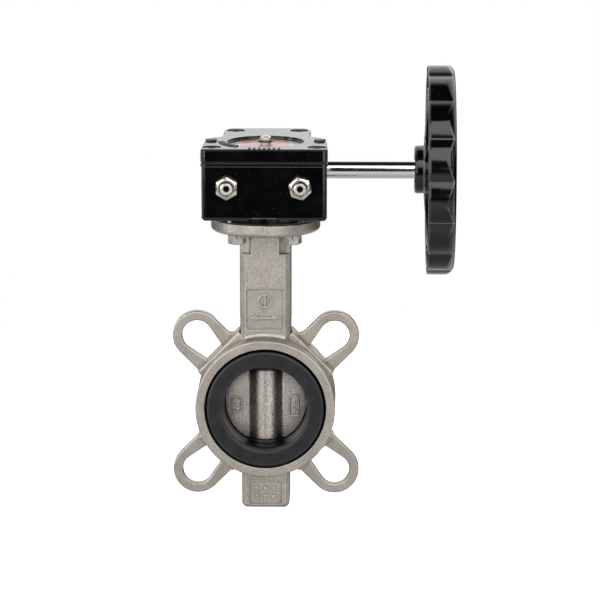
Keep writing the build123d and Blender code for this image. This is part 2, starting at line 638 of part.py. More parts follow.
with BuildPart() as gearbox_cover:
    with BuildSketch(Plane.XY.offset(COVER_LOW)):
        draw_gearbox_plan(0)
    extrude(amount=COVER_TOP - COVER_LOW)
    fillet(gearbox_cover.faces().sort_by(Axis.Z)[-1].edges(), 1.3)
    fillet(gearbox_cover.faces().sort_by(Axis.Z)[0].edges(), 0.7)
    with BuildSketch(Plane.XY.offset(SPIGOT_LOW)):
        Circle(19)
    extrude(amount=COVER_LOW - SPIGOT_LOW)
    # Dial recess with a small step, and the bore for the quadrant's upper journal
    for floor, radius in ((DIAL_FLOOR, DIAL_R - 0.6), (DIAL_FLOOR + 1.9, DIAL_R)):
        with BuildSketch(Plane.XY.offset(floor)):
            Circle(radius)
        extrude(amount=COVER_TOP - floor, mode=Mode.SUBTRACT)
    with BuildSketch(Plane.XY.offset(SPIGOT_LOW)):
        Circle(UPPER_JOURNAL_R + FIT)
    extrude(amount=DIAL_FLOOR - SPIGOT_LOW, mode=Mode.SUBTRACT)
    with BuildSketch(Plane.XY.offset(161.9)):
        Circle(14.5)
    extrude(amount=2.6, mode=Mode.SUBTRACT)
    # Counterbored cover screws and tapped plug screws
    with BuildSketch(Plane.XY.offset(COVER_LOW)):
        with Locations(COVER_SCREWS):
            Circle(3.2)
        with Locations(PLUG_SCREWS):
            Circle(2.6)
    extrude(amount=COVER_TOP - COVER_LOW, mode=Mode.SUBTRACT)
    with BuildSketch(Plane.XY.offset(COVER_TOP - SCREW_SINK)):
        with Locations(COVER_SCREWS):
            Circle(5.9)
    extrude(amount=SCREW_SINK, mode=Mode.SUBTRACT)
    # Plain raised scale marks round the front and left of the dial
    for index in range(-3, 4):
        with BuildSketch(Plane.XY.offset(COVER_TOP - 0.1)):
            with Locations((index * 3.1, -29.4)):
                Rectangle(1.5, 5.0)
        extrude(amount=0.8)
    for index in range(7):
        a = radians(188 + 7 * index)
        centre = (SCALE_R * cos(a), SCALE_R * sin(a), COVER_TOP - 0.1)
        mark = Plane(origin=centre, x_dir=(cos(a), sin(a), 0), z_dir=(0, 0, 1))
        with BuildSketch(mark):
            Rectangle(4.0, 1.0)
        extrude(amount=0.8)
gearbox_cover.part.label = "gearbox_cover"
export_step(gearbox_cover.part, "parts/gearbox_cover.step")


# ---------------------------------------------------------------- cover screws
with BuildPart() as cover_screws:
    with BuildSketch(Plane.XY.offset(COVER_TOP - SCREW_SINK)):
        with Locations(COVER_SCREWS):
            Circle(5.0)
    extrude(amount=SCREW_SINK - 0.6)
    chamfer(cover_screws.edges().filter_by(GeomType.CIRCLE).group_by(Axis.Z)[-1], 0.5)
    with BuildSketch(Plane.XY.offset(COVER_TOP - 3.6)):
        with Locations(COVER_SCREWS):
            RegularPolygon(radius=2.5, side_count=6, major_radius=False)
    extrude(amount=3.1, mode=Mode.SUBTRACT)
    with BuildSketch(Plane.XY.offset(SCREW_END)):
        with Locations(COVER_SCREWS):
            Circle(3 - FIT)
    extrude(amount=COVER_TOP - SCREW_SINK - SCREW_END)
cover_screws.part.label = "cover_screws"
export_step(cover_screws.part, "parts/cover_screws.step")

with BuildPart() as cover_plugs:
    with BuildSketch(Plane.XY.offset(COVER_TOP)):
        with Locations(PLUG_SCREWS):
            RegularPolygon(radius=3.5, side_count=6, major_radius=False, rotation=20)
    extrude(amount=COVER_PLUG_HEIGHT)
    chamfer(cover_plugs.faces().group_by(Axis.Z)[-1].edges(), 0.4)
    with BuildSketch(Plane.XY.offset(COVER_PLUG_END)):
        with Locations(PLUG_SCREWS):
            Circle(2.5 - FIT)
    extrude(amount=COVER_TOP - COVER_PLUG_END)
cover_plugs.part.label = "cover_plugs"
export_step(cover_plugs.part, "parts/cover_plugs.step")


# ---------------------------------------------------------------- travel stops
with BuildPart() as stop_screws:
    with BuildSketch(Plane.XZ.offset(-STOP_TIP_Y)):
        with Locations([(x, STOP_Z) for x in STOP_X]):
            Circle(STOP_R)
    extrude(amount=STOP_TIP_Y - STOP_END_Y)
    chamfer(stop_screws.edges().filter_by(GeomType.CIRCLE).group_by(Axis.Y)[0], 0.6)
    with BuildSketch(Plane.XZ.offset(-STOP_END_Y)):
        with Locations([(x, STOP_Z) for x in STOP_X]):
            RegularPolygon(radius=2.0, side_count=6, major_radius=False)
    extrude(amount=-4, mode=Mode.SUBTRACT)
stop_screws.part.label = "stop_screws"
export_step(stop_screws.part, "parts/stop_screws.step")

nut_front = -(FRONT_Y + RIM_INSET - NUT_THICK)
with BuildPart() as nut_blanks:
    with BuildSketch(Plane.XZ.offset(nut_front)):
        with Locations([(x, STOP_Z) for x in STOP_X]):
            Circle(NUT_FLATS / 2 / cos(pi / 6) - 0.05)
    extrude(amount=-NUT_THICK)
    chamfer(nut_blanks.edges().filter_by(GeomType.CIRCLE).group_by(Axis.Y)[0], *NUT_CHAMFER)
    chamfer(nut_blanks.edges().filter_by(GeomType.CIRCLE).group_by(Axis.Y)[-1], 0.6)

with BuildPart() as stop_lock_nuts:
    with BuildSketch(Plane.XZ.offset(nut_front)):
        for x, turned in zip(STOP_X, NUT_TURNS):
            with Locations((x, STOP_Z)):
                RegularPolygon(radius=NUT_FLATS / 2, side_count=6, major_radius=False, rotation=turned)
                Circle(STOP_R + FIT, mode=Mode.SUBTRACT)
    extrude(amount=-NUT_THICK)
    add(nut_blanks.part, mode=Mode.INTERSECT)
    bores = stop_lock_nuts.edges().filter_by(GeomType.CIRCLE).filter_by(
        lambda e: abs(e.radius - STOP_R - FIT) < 0.01)
    chamfer(bores.group_by(Axis.Y)[0], 0.7)
stop_lock_nuts.part.label = "stop_lock_nuts"
export_step(stop_lock_nuts.part, "parts/stop_lock_nuts.step")


# ---------------------------------------------------------------- worm quadrant
def involute(angle):
    return tan(angle) - angle


def wheel_tooth_outline():
    """Outline of one involute tooth, pointing along x from the wheel's centre."""
    root_r = WHEEL_R - 1.25 * MODULE - 0.5
    base_r = WHEEL_R * cos(PRESSURE)
    pitch_half = pi / (2 * GEAR_TEETH) - WHEEL_THINNING / WHEEL_R
    flank = []
    for step in range(5):
        r = base_r + (WHEEL_R + MODULE - base_r) * step / 4
        half = pitch_half + involute(PRESSURE) - involute(acos(base_r / r))
        flank.append((r * cos(half), r * sin(half)))
    foot_half = pitch_half + involute(PRESSURE)
    flank.insert(0, (root_r * cos(foot_half), root_r * sin(foot_half)))
    return [(x, -y) for x, y in flank] + flank[::-1]


teeth_low = WORM_Z - WHEEL_HALF_WIDTH
teeth_high = WORM_Z + WHEEL_HALF_WIDTH
quadrant_steps = (
    (QUADRANT_LOW, CAVITY_LOW + 0.3, LOWER_JOURNAL_R),
    (CAVITY_LOW + 0.3, teeth_high, HUB_R),
    (teeth_high, DIAL_PLATE[0], UPPER_JOURNAL_R),
)
with BuildPart() as worm_quadrant:
    for low, high, radius in quadrant_steps:
        with BuildSketch(Plane.XY.offset(low)):
            Circle(radius)
        extrude(amount=high - low)
    with BuildSketch(Plane.XY.offset(teeth_low)):
        root_r = WHEEL_R - 1.25 * MODULE
        first = QUADRANT_AT - QUADRANT_HALF_ANGLE
        with BuildLine():
            PolarLine((0, 0), root_r, angle=first)
            CenterArc((0, 0), root_r, first, 2 * QUADRANT_HALF_ANGLE)
            PolarLine((0, 0), root_r, angle=first + 2 * QUADRANT_HALF_ANGLE)
        make_face()
    extrude(amount=2 * WHEEL_HALF_WIDTH)
    for index in range(QUADRANT_TEETH):
        a = radians(QUADRANT_AT + (index - (QUADRANT_TEETH - 1) / 2) * 360 / GEAR_TEETH)
        across = Vector(-sin(a), cos(a), 0)
        shift = -WHEEL_HALF_WIDTH * TOOTH_TILT
        foot = (shift * across.X, shift * across.Y, teeth_low)
        tooth_plane = Plane(origin=foot, x_dir=(cos(a), sin(a), 0), z_dir=(0, 0, 1))
        with BuildSketch(tooth_plane):
            with BuildLine():
                Polyline(*wheel_tooth_outline(), close=True)
            make_face()
        tilt = Vector(across.X * TOOTH_TILT, across.Y * TOOTH_TILT, 1)
        extrude(amount=2 * WHEEL_HALF_WIDTH * hypot(1, TOOTH_TILT), dir=tilt)
    # Square socket for the drive bush, tapped hole for the indicator's screw
    with BuildSketch(Plane.XY.offset(QUADRANT_LOW)):
        Rectangle(BUSH_SQUARE + 2 * FIT, BUSH_SQUARE + 2 * FIT)
    extrude(amount=22, mode=Mode.SUBTRACT)
    with BuildSketch(Plane.XY.offset(POINTER_SCREW[0] - 2)):
        Circle(2.5 + FIT)
    extrude(amount=DIAL_PLATE[0] + 2 - POINTER_SCREW[0], mode=Mode.SUBTRACT)
worm_quadrant.part.label = "worm_quadrant"
export_step(worm_quadrant.part, "parts/worm_quadrant.step")

with BuildPart() as drive_bush:
    with BuildSketch(Plane.XY.offset(124)):
        Rectangle(BUSH_SQUARE, BUSH_SQUARE)
        Rectangle(STEM_SQUARE + 2 * FIT, STEM_SQUARE + 2 * FIT, mode=Mode.SUBTRACT)
    extrude(amount=18)
drive_bush.part.label = "drive_bush"
export_step(drive_bush.part, "parts/drive_bush.step")


# ---------------------------------------------------------------- worm, shaft and their bushings
with BuildPart() as worm:
    with BuildSketch(SHAFT_PLANE.offset(-WORM_HALF)):
        Circle(WORM_R - 1.25 * MODULE)
    extrude(amount=2 * WORM_HALF)
    # The helix starts on top, so with this many turns a crest faces the quadrant's middle
    start_x = -THREAD_TURNS / 2 * LEAD
    path = Helix(pitch=LEAD, height=THREAD_TURNS * LEAD, radius=WORM_R,
                 center=(start_x, WORM_Y, WORM_Z), direction=(1, 0, 0), mode=Mode.PRIVATE)
    start = path @ 0
    outward = Vector(0, start.Y - WORM_Y, start.Z - WORM_Z).normalized()
    with BuildSketch(Plane(origin=start, x_dir=outward, z_dir=path % 0)):
        depth = 1.4 * MODULE
        crest = LEAD / 4 - WORM_THINNING - MODULE * tan(PRESSURE)
        foot = LEAD / 4 - WORM_THINNING + depth * tan(PRESSURE)
        with BuildLine():
            Polyline((-depth, -foot), (MODULE, -crest), (MODULE, crest), (-depth, foot), close=True)
        make_face()
    sweep(path=path, is_frenet=True)
    with BuildSketch(SHAFT_PLANE.offset(-WORM_HALF)):
        Circle(SHAFT_NECK_R + FIT)
    extrude(amount=2 * WORM_HALF, mode=Mode.SUBTRACT)
    with BuildSketch(Plane.XY.offset(WORM_Z)):
        with Locations((PIN_X, WORM_Y)):
            Circle(1.0)
    extrude(amount=12, both=True, mode=Mode.SUBTRACT)
worm.part.label = "worm"
export_step(worm.part, "parts/worm.step")

with BuildPart() as worm_pin:
    with BuildSketch(Plane.XY.offset(WORM_Z)):
        with Locations((PIN_X, WORM_Y)):
            Circle(1.0 - FIT / 2)
    extrude(amount=6.0, both=True)
worm_pin.part.label = "worm_pin"
export_step(worm_pin.part, "parts/worm_pin.step")

shaft_steps = ((SHAFT_LEFT, SHAFT_STEP, SHAFT_NECK_R), (SHAFT_STEP, SHAFT_RIGHT, SHAFT_R))
with BuildPart() as input_shaft:
    for low, high, radius in shaft_steps:
        with BuildSketch(SHAFT_PLANE.offset(low)):
            Circle(radius)
        extrude(amount=high - low)
    chamfer(input_shaft.edges().filter_by(GeomType.CIRCLE).sort_by(Axis.X)[-1], 0.8)
    with BuildSketch(Plane.XY.offset(WORM_Z)):
        with Locations((PIN_X, WORM_Y)):
            Circle(1.0)
        with Locations((HUB_X[0] + 6, WORM_Y)):
            Circle(2.0)
    extrude(amount=12, both=True, mode=Mode.SUBTRACT)
input_shaft.part.label = "input_shaft"
export_step(input_shaft.part, "parts/input_shaft.step")

SHAFT_RINGS = {
    # name: (inner radius, outer radius, stretches along X)
    "shaft_bushing_right": (SHAFT_R + FIT, 8 - FIT, ((18.5, 27.6),)),
    "shaft_bushing_left": (SHAFT_NECK_R + FIT, 7 - FIT, ((-23.5, -16.1),)),
    "worm_thrust_washers": (SHAFT_NECK_R + FIT, 6.8, ((-15.9, -15.1), (15.1, 15.9))),
    "shaft_seal": (SHAFT_R + FIT, 9, ((28.1, 31.2),)),
    "shaft_end_cap": (0, 9 - FIT, ((-27.8, -24.6),)),
}
for name, (inner, outer, stretches) in SHAFT_RINGS.items():
    with BuildPart() as ring:
        for low, high in stretches:
            with BuildSketch(SHAFT_PLANE.offset(low)):
                Circle(outer)
                if inner:
                    Circle(inner, mode=Mode.SUBTRACT)
            extrude(amount=high - low)
    ring.part.label = name
    export_step(ring.part, f"parts/{name}.step")


# ---------------------------------------------------------------- position indicator
with BuildPart() as indicator_plate:
    with BuildSketch(Plane.XY.offset(DIAL_PLATE[0])):
        Circle(DIAL_PLATE_R)
        Circle(2.7, mode=Mode.SUBTRACT)
    extrude(amount=DIAL_PLATE[1] - DIAL_PLATE[0])
indicator_plate.part.label = "indicator_plate"
export_step(indicator_plate.part, "parts/indicator_plate.step")

with BuildPart() as indicator_band:
    with BuildSketch(Plane.XY.offset(DIAL_PLATE[1])):
        Circle(DIAL_PLATE_R - 0.6)
        Rectangle(2 * RED_BAND_HALF, 2 * DIAL_PLATE_R, mode=Mode.INTERSECT)
        Circle(2.9, mode=Mode.SUBTRACT)
    extrude(amount=0.2)
indicator_band.part.label = "indicator_band"
export_step(indicator_band.part, "parts/indicator_band.step")

with BuildPart() as indicator_screw:
    with BuildSketch(Plane.XY.offset(POINTER_SCREW[1])):
        RegularPolygon(radius=3.25, side_count=6, major_radius=False, rotation=10)
    extrude(amount=POINTER_SCREW[2] - POINTER_SCREW[1])
    chamfer(indicator_screw.faces().sort_by(Axis.Z)[-1].edges(), 0.9)
    with BuildSketch(Plane.XY.offset(POINTER_SCREW[0])):
        Circle(2.5 - FIT / 2)
    extrude(amount=POINTER_SCREW[1] - POINTER_SCREW[0])
indicator_screw.part.label = "indicator_screw"
export_step(indicator_screw.part, "parts/indicator_screw.step")


# ---------------------------------------------------------------- handwheel
with BuildPart() as handwheel:
    # Rim: fifteen shallow lobes meeting in sharp valleys, rounded on the outer side
    with BuildSketch(SHAFT_PLANE.offset(WHEEL_RIM[0])):
        pitch = 2 * pi / LOBES
        valley_r = WHEEL_OUTER_R - LOBE_DEPTH
        with BuildLine():
            for index in range(LOBES):
                first = radians(VALLEY_AT) + pitch * index
                steps = ((valley_r, first), (WHEEL_OUTER_R, first + pitch / 2), (valley_r, first + pitch))
                ThreePointArc(*[(r * cos(a), r * sin(a)) for r, a in steps])
        make_face()
    extrude(amount=WHEEL_RIM[1] - WHEEL_RIM[0])
    fillet(handwheel.faces().sort_by(Axis.X)[0].edges(), LOBE_EDGE)
    with BuildSketch(SHAFT_SECTION):
        with Locations(((WHEEL_RIM[0] + WHEEL_RIM[1]) / 2, (WHEEL_OUTER_R + RIM_INNER_R) / 2)):
            rim = Rectangle(WHEEL_RIM[1] - WHEEL_RIM[0], WHEEL_OUTER_R - RIM_INNER_R)
        fillet(rim.vertices().group_by(Axis.X)[-1], RIM_ROUNDING)
    revolve(axis=SHAFT_AXIS, mode=Mode.INTERSECT)
    # Slightly dished web from the hub to the rim
    with BuildSketch(SHAFT_SECTION):
        with BuildLine():
            Polyline(
                (101.5, 10), (101.5, 18), (104.0, RIM_INNER_R + 2), (110.0, RIM_INNER_R + 2), (108.5, 10),
                close=True,
            )
        make_face()
    revolve(axis=SHAFT_AXIS)
    # The rim is a channel that is open towards the gearbox
    with BuildSketch(SHAFT_SECTION):
        channel_x = (WHEEL_RIM[0] - 1, WHEEL_RIM[1] - RIM_BACK)
        channel_r = (RIM_INNER_R + RIM_BACK, WHEEL_OUTER_R - RIM_WALL)
        with Locations((sum(channel_x) / 2, sum(channel_r) / 2)):
            channel = Rectangle(channel_x[1] - channel_x[0], channel_r[1] - channel_r[0])
        fillet(channel.vertices().group_by(Axis.X)[-1], 3.5)
    revolve(axis=SHAFT_AXIS, mode=Mode.SUBTRACT)
    # Windows between the spokes
    for index in range(SPOKES):
        middle = SPOKE_AT + 360 / SPOKES * (index + 0.5)
        with BuildSketch(SHAFT_PLANE.offset(WHEEL_RIM[0] - 10)) as window:
            with BuildLine():
                inner_arc = CenterArc((0, 0), WINDOW_R[0], middle - WINDOW_HALF, 2 * WINDOW_HALF)
                outer_arc = CenterArc((0, 0), WINDOW_R[1], middle - WINDOW_HALF, 2 * WINDOW_HALF)
                Line(inner_arc @ 0, outer_arc @ 0)
                Line(inner_arc @ 1, outer_arc @ 1)
            make_face()
            fillet(window.vertices(), 4)
        extrude(amount=40, mode=Mode.SUBTRACT)
    # Hub
    with BuildSketch(SHAFT_PLANE.offset(HUB_X[0])):
        Circle(WHEEL_HUB_R)
    extrude(amount=HUB_X[1] - HUB_X[0])
    hub_rims = handwheel.edges().filter_by(GeomType.CIRCLE).filter_by(
        lambda e: abs(e.radius - WHEEL_HUB_R) < 0.01).sort_by(Axis.X)
    fillet([hub_rims[0], hub_rims[-1]], 1.6)
    with BuildSketch(SHAFT_PLANE.offset(HUB_X[0] - 1)):
        Circle(SHAFT_R + FIT)
    extrude(amount=HUB_X[1] - HUB_X[0] + 2, mode=Mode.SUBTRACT)
    with BuildSketch(Plane.XY.offset(WORM_Z)):
        with Locations((HUB_X[0] + 6, WORM_Y)):
            Circle(2.0)
    extrude(amount=WHEEL_HUB_R + 2, both=True, mode=Mode.SUBTRACT)
handwheel.part.label = "handwheel"
export_step(handwheel.part, "parts/handwheel.step")

with BuildPart() as handwheel_pin:
    with BuildSketch(Plane.XY.offset(WORM_Z)):
        with Locations((HUB_X[0] + 6, WORM_Y)):
            Circle(2.0 - FIT / 2)
    extrude(amount=WHEEL_HUB_R - 0.8, both=True)
handwheel_pin.part.label = "handwheel_pin"
export_step(handwheel_pin.part, "parts/handwheel_pin.step")
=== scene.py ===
import bpy
import json
from math import cos, pi, radians, sin
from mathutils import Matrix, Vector


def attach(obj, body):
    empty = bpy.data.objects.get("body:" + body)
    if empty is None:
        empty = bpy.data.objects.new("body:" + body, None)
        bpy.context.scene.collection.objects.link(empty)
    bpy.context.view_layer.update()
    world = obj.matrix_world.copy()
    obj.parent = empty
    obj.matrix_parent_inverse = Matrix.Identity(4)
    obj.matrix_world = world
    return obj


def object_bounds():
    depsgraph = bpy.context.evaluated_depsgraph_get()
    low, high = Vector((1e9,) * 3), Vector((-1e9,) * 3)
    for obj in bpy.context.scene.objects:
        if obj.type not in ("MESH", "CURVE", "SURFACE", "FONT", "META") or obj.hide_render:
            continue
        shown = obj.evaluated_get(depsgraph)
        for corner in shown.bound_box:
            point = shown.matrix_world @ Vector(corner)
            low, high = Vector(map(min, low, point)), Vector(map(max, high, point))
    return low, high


# Looks of the butterfly valve: materials for its CAD parts, studio light and a camera.
# Lengths are in metres, and in millimetres where a name ends in _mm.

MM = 0.001
STOP_X_MM = (-23.5, 22.6)  # where the two stop screws' axes cross the front of the gearbox
STOP_Z_MM = 145.5
STOP_EDGE_MM = 0.12  # half the width of the soft edge round a screw's dark socket

# Sockets of a Mix node in its colour mode
MIX_SHARE, MIX_FIRST, MIX_SECOND, MIX_RESULT = 0, 6, 7, 2

# Colours of what settles on the surfaces, and of painted light: highlights painted at their corners
# and shade painted in their hollows
# Painted highlights at corners; on the steels the lighter corners also stand for wear
STEEL_EDGE_WEAR_AND_HIGHLIGHT = (0.90, 0.86, 0.80)
TURNED_EDGE_WEAR_AND_HIGHLIGHT = (0.85, 0.84, 0.82)
ZINC_EDGE_HIGHLIGHT = (0.97, 0.94, 0.88)
# Painted shade in the castings' crevices, broad and fine
CAST_SHADE = (0.07, 0.065, 0.055)
CAST_FINE_SHADE = (0.05, 0.045, 0.04)
PIT = (0.12, 0.11, 0.10)
ENAMEL_DEEP = (0.0008, 0.0010, 0.0012)
ENAMEL_HAZY = (0.0020, 0.0022, 0.0025)
ENAMEL_DUST = (0.12, 0.12, 0.11)
RUBBER_DUST = (0.10, 0.10, 0.10)
# Painted shade in the rubber's hollows and bore, in hollows of plated parts and in the stop screws'
# sockets
RUBBER_HOLLOW_SHADE = (0.0005, 0.0005, 0.0005)
PLATING_HOLLOW_SHADE = (0.012, 0.008, 0.006)
SOCKET_SHADE = (0.012, 0.006, 0.003)
PALE_FLOOR = (0.85, 0.85, 0.85, 1)
WHITE = (1, 1, 1, 1)

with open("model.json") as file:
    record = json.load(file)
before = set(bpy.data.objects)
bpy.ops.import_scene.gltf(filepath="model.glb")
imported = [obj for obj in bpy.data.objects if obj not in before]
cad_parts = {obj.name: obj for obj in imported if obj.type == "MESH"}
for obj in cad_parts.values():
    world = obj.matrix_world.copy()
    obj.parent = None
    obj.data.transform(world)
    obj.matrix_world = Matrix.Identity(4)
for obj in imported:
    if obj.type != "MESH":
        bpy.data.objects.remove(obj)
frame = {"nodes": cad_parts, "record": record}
cad_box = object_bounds()
nodes = frame["nodes"]


def add_object(name, data):
    """A new object in the scene."""
    made = bpy.data.objects.new(name, data)
    bpy.context.scene.collection.objects.link(made)
    return made


# ---------------------------------------------------------------- node helpers
def add_node(tree, kind, inputs=None, **settings):
    """A shader node. inputs are values or other nodes' sockets, by the input's name or number."""
    node = tree.nodes.new(kind)
    for name, value in settings.items():
        setattr(node, name, value)
    for name, value in (inputs or {}).items():
        if isinstance(value, bpy.types.NodeSocket):
            tree.links.new(value, node.inputs[name])
        else:
            node.inputs[name].default_value = value
    return node


def positions(tree, stretch=(1, 1, 1)):
    """Places on the part in its own frame, squeezed along the axes where stretch is above 1."""
    place = add_node(tree, "ShaderNodeTexCoord").outputs["Object"]
    return add_node(tree, "ShaderNodeMapping", {"Vector": place, "Scale": stretch}).outputs[0]


def noise(tree, size_mm, detail, stretch=(1, 1, 1), rough=0.55):
    """Soft noise with patches of about size_mm. It is mostly between 0.3 and 0.7."""
    return add_node(tree, "ShaderNodeTexNoise", {
        "Vector": positions(tree, stretch), "Scale": 1000 / size_mm, "Detail": detail,
        "Roughness": rough}).outputs[0]


def specks(tree, spacing_mm, share):
    """1 in small round specks, in that share of cells spacing_mm wide, and 0 elsewhere."""
    cells = add_node(tree, "ShaderNodeTexVoronoi", {
        "Vector": positions(tree), "Scale": 1000 / spacing_mm, "Randomness": 1.0})
    draw = add_node(tree, "ShaderNodeSeparateColor", {0: cells.outputs["Color"]}).outputs[0]
    chosen = remap(tree, draw, 1 - share, 1 - share + 0.01)
    near = remap(tree, cells.outputs["Distance"], 0.16, 0.08)
    return multiply(tree, chosen, near)


def remap(tree, value, low, high, to_low=0.0, to_high=1.0):
    """value's stretch from low to high, mapped to to_low and to_high and held there outside it."""
    return add_node(tree, "ShaderNodeMapRange", {
        "Value": value, "From Min": low, "From Max": high,
        "To Min": to_low, "To Max": to_high}).outputs[0]


def multiply(tree, a, b):
    """The product of two values."""
    return add_node(tree, "ShaderNodeMath", {0: a, 1: b}, operation="MULTIPLY").outputs[0]


def add(tree, a, b):
    """The sum of two values."""
    return add_node(tree, "ShaderNodeMath", {0: a, 1: b}, operation="ADD").outputs[0]


def mix_colour(tree, share, first, second):
    """The first colour where share is 0 and the second where it is 1."""
    mix = add_node(tree, "ShaderNodeMix", data_type="RGBA")
    for index, value in ((MIX_SHARE, share), (MIX_FIRST, first), (MIX_SECOND, second)):
        if isinstance(value, bpy.types.NodeSocket):
            tree.links.new(value, mix.inputs[index])
        elif index == MIX_SHARE:
            mix.inputs[index].default_value = value
        else:
            mix.inputs[index].default_value = (*value, 1)
    return mix.outputs[MIX_RESULT]


def corners(tree, radius_mm):
    """1 at sharp corners, 0 on smooth surfaces; also the normal with those corners rounded off."""
    rounded = add_node(tree, "ShaderNodeBevel", {"Radius": radius_mm * MM}, samples=6).outputs[0]
    flat = add_node(tree, "ShaderNodeNewGeometry").outputs["Normal"]
    likeness = add_node(
        tree, "ShaderNodeVectorMath", {0: rounded, 1: flat}, operation="DOT_PRODUCT")
    return remap(tree, likeness.outputs["Value"], 0.995, 0.88), rounded


def crevices(tree, depth_mm, shut=0.25):
    """1 where at most the share shut of the surroundings is open within depth_mm, 0 in the open."""
    nearby = add_node(
        tree, "ShaderNodeAmbientOcclusion", {"Distance": depth_mm * MM}, samples=6)
    return remap(tree, nearby.outputs["AO"], shut + 0.5, shut)


def near_screws(tree, radius_mm):
    """1 within radius_mm of the two stop screws' axes, 0 outside."""
    place = add_node(tree, "ShaderNodeSeparateXYZ", {0: positions(tree)})
    flat = add_node(
        tree, "ShaderNodeCombineXYZ", {axis: place.outputs[axis] for axis in "XZ"}).outputs[0]
    shares = []
    for x in STOP_X_MM:
        away = add_node(
            tree, "ShaderNodeVectorMath", {0: flat, 1: (x * MM, 0, STOP_Z_MM * MM)},
            operation="DISTANCE")
        shares.append(remap(tree, away.outputs["Value"],
                            (radius_mm + STOP_EDGE_MM) * MM, (radius_mm - STOP_EDGE_MM) * MM))
    return add(tree, *shares)


def bump(tree, height, depth_mm, normal=None):
    """The normal of a surface raised by depth_mm where height is 1."""
    inputs = {"Height": height, "Distance": depth_mm * MM, "Strength": 1.0}
    if normal is not None:
        inputs["Normal"] = normal
    return add_node(tree, "ShaderNodeBump", inputs).outputs[0]


def new_shader(name, **sockets):
    """A material with one Principled shader, whose constant sockets are given by name."""
    material = bpy.data.materials.new(name)
    material.use_nodes = True
    tree = material.node_tree
    shader = tree.nodes["Principled BSDF"]
    for socket, value in sockets.items():
        shader.inputs[socket.replace("_", " ")].default_value = value
    return material, tree, shader


def drive(tree, shader, **sockets):
    """Links sockets of the shader that vary over the surface."""
    for socket, source in sockets.items():
        tree.links.new(source, shader.inputs[socket.replace("_", " ")])


# ---------------------------------------------------------------- materials
def cast_steel(name, pale, dark, grain_mm, roughness, bump_mm, shade_mm, shade, shut):
    """A blasted stainless casting: coarse and fine grain, pits, corners lighter from wear and
    painted highlight, and painted shade in its crevices.
    """
    material, tree, shader = new_shader(name, Metallic=1.0)
    mottle = noise(tree, size_mm=12, detail=4)
    grain = noise(tree, grain_mm, detail=2, rough=0.7)
    pits = specks(tree, spacing_mm=2.1, share=0.4)
    tone = add(tree, multiply(tree, mottle, 0.3), multiply(tree, grain, 0.7))
    colour = mix_colour(tree, remap(tree, tone, 0.36, 0.64), dark, pale)
    edge_highlight_and_wear, rounded = corners(tree, radius_mm=0.5)
    # Corners lightened: partly wear, partly a painted highlight
    colour = mix_colour(tree, multiply(tree, edge_highlight_and_wear, 0.75), colour, STEEL_EDGE_WEAR_AND_HIGHLIGHT)
    # Painted shade in the crevices
    shaded = multiply(tree, crevices(tree, shade_mm, shut), shade)
    colour = mix_colour(tree, shaded, colour, CAST_SHADE)
    # Painted shade in fine crevices and at the steps round raised panels
    fine_crevice_shade = multiply(tree, crevices(tree, depth_mm=1.1, shut=0.38), 0.85)
    colour = mix_colour(tree, fine_crevice_shade, colour, CAST_FINE_SHADE)
    colour = mix_colour(tree, multiply(tree, pits, 0.65), colour, PIT)
    height = add(tree, grain, multiply(tree, pits, -0.8))
    drive(tree, shader, Base_Color=colour, Normal=bump(tree, height, bump_mm, rounded),
          Roughness=remap(tree, grain, 0.3, 0.7, roughness - 0.07, roughness + 0.07))
    return material


def machined_steel(name, pale, dark, roughness, stretch):
    """Turned or drawn metal whose fine lines run along the axes that aren't squeezed."""
    material, tree, shader = new_shader(name, Metallic=1.0)
    lines = noise(tree, size_mm=60, detail=5, stretch=stretch, rough=0.7)
    stain = noise(tree, size_mm=9, detail=4)
    edge_highlight_and_wear, rounded = corners(tree, radius_mm=0.25)
    colour = mix_colour(tree, remap(tree, lines, 0.3, 0.7), dark, pale)
    # Corners lightened: partly wear, partly a painted highlight
    colour = mix_colour(tree, multiply(tree, edge_highlight_and_wear, 0.5), colour, TURNED_EDGE_WEAR_AND_HIGHLIGHT)
    gloss = add(tree, multiply(tree, lines, 0.6), multiply(tree, stain, 0.4))
    drive(tree, shader, Base_Color=colour, Normal=bump(tree, lines, 0.012, rounded),
          Roughness=remap(tree, gloss, 0.3, 0.7, roughness * 0.7, roughness * 1.35))
    return material


def enamel(name, roughness, ripple_mm, ripple_depth_mm, edge_mm=0.45, edge=0.16):
    """Gloss black enamel: slight orange peel, dust specks, and a highlight painted at the corners.

    edge_mm is the corners' radius, and edge is the grey of the highlight painted there.
    """
    material, tree, shader = new_shader(name, IOR=1.52)
    ripple = noise(tree, ripple_mm, detail=2, rough=0.45)
    cast = noise(tree, size_mm=11, detail=2)
    haze = noise(tree, size_mm=16, detail=5, rough=0.65)
    dust = specks(tree, spacing_mm=1.9, share=0.2)
    edge_highlight_and_wear, rounded = corners(tree, edge_mm)
    colour = mix_colour(tree, remap(tree, haze, 0.35, 0.75), ENAMEL_DEEP, ENAMEL_HAZY)
    # Painted highlight: the corners turn grey
    colour = mix_colour(tree, multiply(tree, edge_highlight_and_wear, 0.7), colour, (edge, edge, edge))
    colour = mix_colour(tree, multiply(tree, dust, 0.4), colour, ENAMEL_DUST)
    height = add(tree, add(tree, ripple, multiply(tree, cast, 2.0)), multiply(tree, dust, 0.6))
    drive(tree, shader, Base_Color=colour, Normal=bump(tree, height, ripple_depth_mm, rounded),
          Roughness=remap(tree, haze, 0.35, 0.7, roughness * 0.7, roughness * 1.4))
    return material


